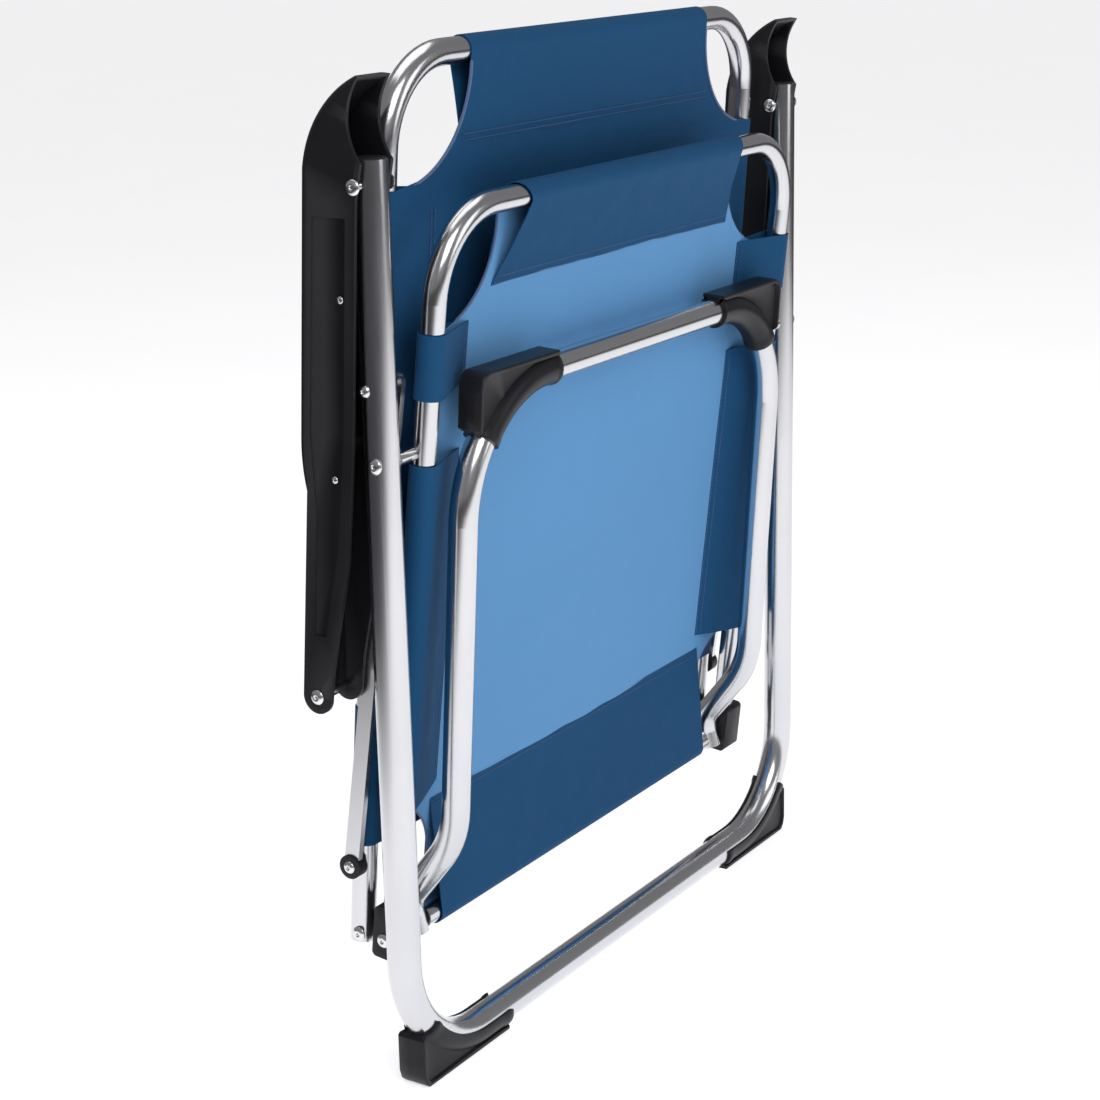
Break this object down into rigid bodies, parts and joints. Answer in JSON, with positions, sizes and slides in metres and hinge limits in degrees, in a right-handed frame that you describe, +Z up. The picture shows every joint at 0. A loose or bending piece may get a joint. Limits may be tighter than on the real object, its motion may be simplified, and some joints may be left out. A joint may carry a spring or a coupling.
{
  "type": "folding camp chair",
  "caption": "Folding camp chair, folded flat and standing on its front legs: aluminium tube frames, blue sling seat and back, black plastic armrests and feet.",
  "frame": {"origin": "on the ground under the middle of the folded chair, at the bottom centre of its box", "axes": "+X from the chair's left side to its right as seen from the front, +Y towards the chair's back, +Z up; the chair is folded and stands on its front feet"},
  "size_m": [0.6306, 0.1186, 0.7586],
  "materials": {
    "tube": "polished aluminium tube",
    "flat_bar": "satin flat oval aluminium",
    "rivet": "bright zinc plated steel",
    "black_plastic": "moulded black plastic, fine grain",
    "mesh_cloth": "light blue coated polyester weave",
    "band_cloth": "dark blue coated polyester weave with sewn hems",
    "back_cloth": "dark blue coated polyester weave"
  },
  "bodies": {
    "front_leg": {"front_leg_frame": "tube", "front_foot_left": "black_plastic", "front_foot_right": "black_plastic", "armrest_front_rivets": "rivet", "seat_pivot_bolts": "rivet", "seat_pivot_spacers": "black_plastic", "strut_top_rivets": "rivet", "front_tube_plugs": "black_plastic"},
    "seat": {"seat_frame": "tube", "seat_rear_bar": "tube", "seat_bracket_left": "black_plastic", "seat_bracket_right": "black_plastic", "rear_bar_plugs": "black_plastic", "seat_front_sleeve": "band_cloth", "seat_rear_band": "band_cloth", "seat_side_sleeves": "band_cloth", "seat_panel": "mesh_cloth", "back_pivot_pins": "rivet", "rear_axle_bolts": "rivet"},
    "backrest": {"back_frame": "tube", "back_side_sleeves": "band_cloth", "back_head_sleeve": "band_cloth", "back_panel": "back_cloth", "back_tube_plugs": "black_plastic"},
    "rear_leg": {"rear_leg_frame": "tube", "rear_foot_left": "black_plastic", "rear_foot_right": "black_plastic"},
    "armrest_left": {"armrest_left": "black_plastic", "armrest_rear_rivet_left": "rivet", "armrest_rear_spacer_left": "black_plastic"},
    "armrest_right": {"armrest_right": "black_plastic", "armrest_rear_rivet_right": "rivet", "armrest_rear_spacer_right": "black_plastic"},
    "strut_left": {"strut_left": "flat_bar", "strut_cap_left": "black_plastic", "strut_foot_rivet_left": "rivet"},
    "strut_right": {"strut_right": "flat_bar", "strut_cap_right": "black_plastic", "strut_foot_rivet_right": "rivet"}
  },
  "joints": [
    {"name": "seat_fold", "type": "hinge", "parent": "front_leg", "child": "seat", "pos_m": [0, -0.0213, 0.479], "axis": [1, 0, 0], "range_deg": [0, 100]},
    {"name": "back_fold", "type": "hinge", "parent": "seat", "child": "backrest", "pos_m": [0, 0.0457, 0.0995], "axis": [1, 0, 0], "range_deg": [-97.43, 0]},
    {"name": "rear_leg_fold", "type": "hinge", "parent": "seat", "child": "rear_leg", "pos_m": [0, 0.02116, 0.10035], "axis": [1, 0, 0], "range_deg": [0, 105.5]},
    {"name": "armrest_left_fold", "type": "hinge", "parent": "front_leg", "child": "armrest_left", "pos_m": [0, -0.0183, 0.669], "axis": [1, 0, 0], "range_deg": [0, 105.87]},
    {"name": "armrest_right_fold", "type": "hinge", "parent": "front_leg", "child": "armrest_right", "pos_m": [0, -0.0183, 0.669], "axis": [1, 0, 0], "range_deg": [0, 105.87]},
    {"name": "strut_left_fold", "type": "hinge", "parent": "front_leg", "child": "strut_left", "pos_m": [0, -0.0153, 0.5307], "axis": [1, 0, 0], "range_deg": [0, 103.04]},
    {"name": "strut_right_fold", "type": "hinge", "parent": "front_leg", "child": "strut_right", "pos_m": [0, -0.0153, 0.5307], "axis": [1, 0, 0], "range_deg": [0, 103.04]}
  ],
  "couplings": [
    {"joint": "back_fold", "follows": "seat_fold", "ratio": -0.9693},
    {"joint": "rear_leg_fold", "follows": "seat_fold", "ratio": 1.05},
    {"joint": "armrest_left_fold", "follows": "seat_fold", "ratio": 1.0537},
    {"joint": "armrest_right_fold", "follows": "seat_fold", "ratio": 1.0537},
    {"joint": "strut_left_fold", "follows": "seat_fold", "ratio": 1.0254},
    {"joint": "strut_right_fold", "follows": "seat_fold", "ratio": 1.0254}
  ]
}
